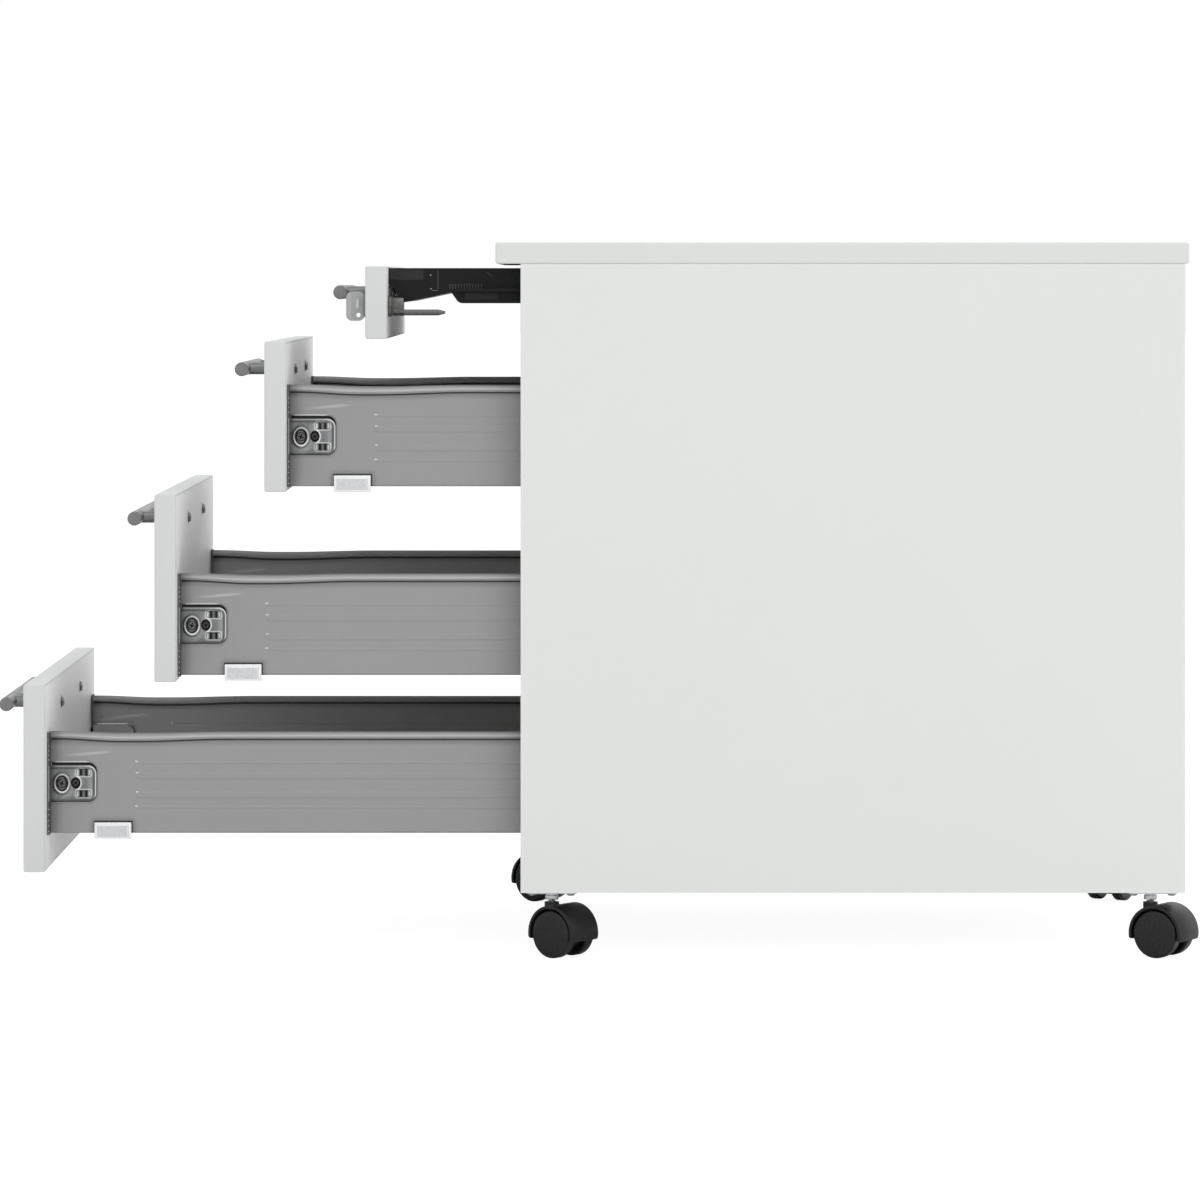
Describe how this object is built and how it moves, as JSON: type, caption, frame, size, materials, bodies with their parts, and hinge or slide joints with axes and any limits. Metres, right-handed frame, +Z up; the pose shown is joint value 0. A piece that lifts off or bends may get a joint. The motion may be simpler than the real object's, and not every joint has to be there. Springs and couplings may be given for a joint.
{
  "type": "rolling file cabinet",
  "caption": "Drawer cabinet on twin-wheel casters: board carcass, pen tray and steel-sided drawers on roller runners, bar handles, and a key lock with a locking bar.",
  "frame": {"origin": "on the floor, under the middle of the carcass", "axes": "+Z up; -Y towards the side the drawers open to; +X to the right of someone facing the drawers, where the lock is"},
  "size_m": [0.4449, 1.0176, 0.6],
  "materials": {
    "laminate_board": "particle board faced with light grey-white melamine, satin, with matching edge bands",
    "drawer_board": "thinner melamine-faced board, plain light grey",
    "drawer_steel": "grey powder coat, fine satin",
    "runner_steel": "light grey epoxy coat, smooth",
    "bracket_zinc": "die-cast zinc, dull with bright edges",
    "zinc_plate": "zinc-plated sheet steel with a faint spangle",
    "satin_steel": "satin-brushed steel tube",
    "nickel": "nickel-plated lock barrel",
    "roller_nylon": "natural nylon, slightly waxy",
    "key_plastic": "light grey moulded bow on a steel blade",
    "black_plastic": "moulded black polystyrene, fine grain",
    "caster_plastic": "moulded black nylon, semi-matt"
  },
  "bodies": {
    "cabinet": {"top_panel": "laminate_board", "right_side_panel": "laminate_board", "left_side_panel": "laminate_board", "bottom_panel": "laminate_board", "back_panel": "laminate_board", "pen_tray_guides": "black_plastic", "caster_plates": "zinc_plate", "upper_runner_rails": "runner_steel", "middle_runner_rails": "runner_steel", "lower_runner_rails": "runner_steel"},
    "pen_drawer": {"pen_drawer_front": "laminate_board", "pen_tray": "black_plastic", "pen_tray_runners": "black_plastic", "pen_drawer_handle": "satin_steel", "lock_housing": "nickel"},
    "lock_cam": {"lock_cam": "zinc_plate"},
    "key": {"key": "key_plastic"},
    "locking_bar": {"locking_bar": "zinc_plate"},
    "upper_drawer": {"upper_drawer_front": "laminate_board", "upper_drawer_handle": "satin_steel", "upper_drawer_right_side": "drawer_steel", "upper_drawer_left_side": "drawer_steel", "upper_drawer_base": "drawer_board", "upper_drawer_back": "drawer_board", "upper_drawer_front_brackets": "bracket_zinc", "upper_drawer_catch": "zinc_plate"},
    "upper_rear_rollers": {"upper_drawer_rear_rollers": "roller_nylon"},
    "upper_front_rollers": {"upper_drawer_front_rollers": "roller_nylon"},
    "middle_drawer": {"middle_drawer_front": "laminate_board", "middle_drawer_handle": "satin_steel", "middle_drawer_right_side": "drawer_steel", "middle_drawer_left_side": "drawer_steel", "middle_drawer_base": "drawer_board", "middle_drawer_back": "drawer_board", "middle_drawer_front_brackets": "bracket_zinc", "middle_drawer_catch": "zinc_plate"},
    "middle_rear_rollers": {"middle_drawer_rear_rollers": "roller_nylon"},
    "middle_front_rollers": {"middle_drawer_front_rollers": "roller_nylon"},
    "lower_drawer": {"lower_drawer_front": "laminate_board", "lower_drawer_handle": "satin_steel", "lower_drawer_right_side": "drawer_steel", "lower_drawer_left_side": "drawer_steel", "lower_drawer_base": "drawer_board", "lower_drawer_back": "drawer_board", "lower_drawer_front_brackets": "bracket_zinc", "lower_drawer_catch": "zinc_plate"},
    "lower_rear_rollers": {"lower_drawer_rear_rollers": "roller_nylon"},
    "lower_front_rollers": {"lower_drawer_front_rollers": "roller_nylon"},
    "right_front_caster": {"right_front_caster_hood": "caster_plastic"},
    "right_front_outer_wheel": {"right_front_caster_outer_wheel": "caster_plastic"},
    "right_front_inner_wheel": {"right_front_caster_inner_wheel": "caster_plastic"},
    "right_rear_caster": {"right_rear_caster_hood": "caster_plastic"},
    "right_rear_outer_wheel": {"right_rear_caster_outer_wheel": "caster_plastic"},
    "right_rear_inner_wheel": {"right_rear_caster_inner_wheel": "caster_plastic"},
    "left_front_caster": {"left_front_caster_hood": "caster_plastic"},
    "left_front_outer_wheel": {"left_front_caster_outer_wheel": "caster_plastic"},
    "left_front_inner_wheel": {"left_front_caster_inner_wheel": "caster_plastic"},
    "left_rear_caster": {"left_rear_caster_hood": "caster_plastic"},
    "left_rear_outer_wheel": {"left_rear_caster_outer_wheel": "caster_plastic"},
    "left_rear_inner_wheel": {"left_rear_caster_inner_wheel": "caster_plastic"}
  },
  "joints": [
    {"name": "pen_drawer_slide", "type": "slide", "parent": "cabinet", "child": "pen_drawer", "axis": [0, -1, 0], "range_m": [-0.11, 0.13]},
    {"name": "lock_turn", "type": "hinge", "parent": "pen_drawer", "child": "lock_cam", "pos_m": [0.184, -0.39, 0.5464], "axis": [0, -1, 0], "range_deg": [0, 180]},
    {"name": "key_pull", "type": "slide", "parent": "lock_cam", "child": "key", "axis": [0, -1, 0], "range_m": [0, 0.016]},
    {"name": "locking_bar_lift", "type": "slide", "parent": "cabinet", "child": "locking_bar", "axis": [0, 0, 1], "range_m": [0, 0.0106]},
    {"name": "upper_drawer_slide", "type": "slide", "parent": "cabinet", "child": "upper_drawer", "axis": [0, -1, 0], "range_m": [-0.1945, 0.2015]},
    {"name": "upper_rear_rollers_turn", "type": "hinge", "parent": "upper_drawer", "child": "upper_rear_rollers", "pos_m": [0, 0.0135, 0.4195], "axis": [1, 0, 0], "continuous": true},
    {"name": "upper_front_rollers_turn", "type": "hinge", "parent": "cabinet", "child": "upper_front_rollers", "pos_m": [0, -0.264, 0.38435], "axis": [1, 0, 0], "continuous": true},
    {"name": "middle_drawer_slide", "type": "slide", "parent": "cabinet", "child": "middle_drawer", "axis": [0, -1, 0], "range_m": [-0.2864, 0.1096]},
    {"name": "middle_rear_rollers_turn", "type": "hinge", "parent": "middle_drawer", "child": "middle_rear_rollers", "pos_m": [0, -0.0784, 0.2605], "axis": [1, 0, 0], "continuous": true},
    {"name": "middle_front_rollers_turn", "type": "hinge", "parent": "cabinet", "child": "middle_front_rollers", "pos_m": [0, -0.264, 0.22535], "axis": [1, 0, 0], "continuous": true},
    {"name": "lower_drawer_slide", "type": "slide", "parent": "cabinet", "child": "lower_drawer", "axis": [0, -1, 0], "range_m": [-0.396, 0]},
    {"name": "lower_rear_rollers_turn", "type": "hinge", "parent": "lower_drawer", "child": "lower_rear_rollers", "pos_m": [0, -0.188, 0.1274], "axis": [1, 0, 0], "continuous": true},
    {"name": "lower_front_rollers_turn", "type": "hinge", "parent": "cabinet", "child": "lower_front_rollers", "pos_m": [0, -0.264, 0.09225], "axis": [1, 0, 0], "continuous": true},
    {"name": "right_front_caster_swivel", "type": "hinge", "parent": "cabinet", "child": "right_front_caster", "pos_m": [0.184, -0.252, 0.045], "axis": [0, 0, 1], "continuous": true},
    {"name": "right_front_outer_wheel_turn", "type": "hinge", "parent": "right_front_caster", "child": "right_front_outer_wheel", "pos_m": [0.19204, -0.24242, 0.02], "axis": [-0.766, 0.6428, 0], "continuous": true},
    {"name": "right_front_inner_wheel_turn", "type": "hinge", "parent": "right_front_caster", "child": "right_front_inner_wheel", "pos_m": [0.19204, -0.24242, 0.02], "axis": [-0.766, 0.6428, 0], "continuous": true},
    {"name": "right_rear_caster_swivel", "type": "hinge", "parent": "cabinet", "child": "right_rear_caster", "pos_m": [0.184, 0.252, 0.045], "axis": [0, 0, 1], "continuous": true},
    {"name": "right_rear_outer_wheel_turn", "type": "hinge", "parent": "right_rear_caster", "child": "right_rear_outer_wheel", "pos_m": [0.19108, 0.2623, 0.02], "axis": [-0.8241, 0.5664, 0], "continuous": true},
    {"name": "right_rear_inner_wheel_turn", "type": "hinge", "parent": "right_rear_caster", "child": "right_rear_inner_wheel", "pos_m": [0.19108, 0.2623, 0.02], "axis": [-0.8241, 0.5664, 0], "continuous": true},
    {"name": "left_front_caster_swivel", "type": "hinge", "parent": "cabinet", "child": "left_front_caster", "pos_m": [-0.184, -0.252, 0.045], "axis": [0, 0, 1], "continuous": true},
    {"name": "left_front_outer_wheel_turn", "type": "hinge", "parent": "left_front_caster", "child": "left_front_outer_wheel", "pos_m": [-0.19152, -0.26198, 0.02], "axis": [0.7986, -0.6018, 0], "continuous": true},
    {"name": "left_front_inner_wheel_turn", "type": "hinge", "parent": "left_front_caster", "child": "left_front_inner_wheel", "pos_m": [-0.19152, -0.26198, 0.02], "axis": [0.7986, -0.6018, 0], "continuous": true},
    {"name": "left_rear_caster_swivel", "type": "hinge", "parent": "cabinet", "child": "left_rear_caster", "pos_m": [-0.184, 0.252, 0.045], "axis": [0, 0, 1], "continuous": true},
    {"name": "left_rear_outer_wheel_turn", "type": "hinge", "parent": "left_rear_caster", "child": "left_rear_outer_wheel", "pos_m": [-0.19482, 0.25825, 0.02], "axis": [-0.5, -0.866, 0], "continuous": true},
    {"name": "left_rear_inner_wheel_turn", "type": "hinge", "parent": "left_rear_caster", "child": "left_rear_inner_wheel", "pos_m": [-0.19482, 0.25825, 0.02], "axis": [-0.5, -0.866, 0], "continuous": true}
  ],
  "couplings": [
    {"joint": "upper_rear_rollers_turn", "follows": "upper_drawer_slide", "rad_per_m": 103.63},
    {"joint": "upper_front_rollers_turn", "follows": "upper_drawer_slide", "rad_per_m": 100},
    {"joint": "middle_rear_rollers_turn", "follows": "middle_drawer_slide", "rad_per_m": 103.63},
    {"joint": "middle_front_rollers_turn", "follows": "middle_drawer_slide", "rad_per_m": 100},
    {"joint": "lower_rear_rollers_turn", "follows": "lower_drawer_slide", "rad_per_m": 103.63},
    {"joint": "lower_front_rollers_turn", "follows": "lower_drawer_slide", "rad_per_m": 100}
  ]
}
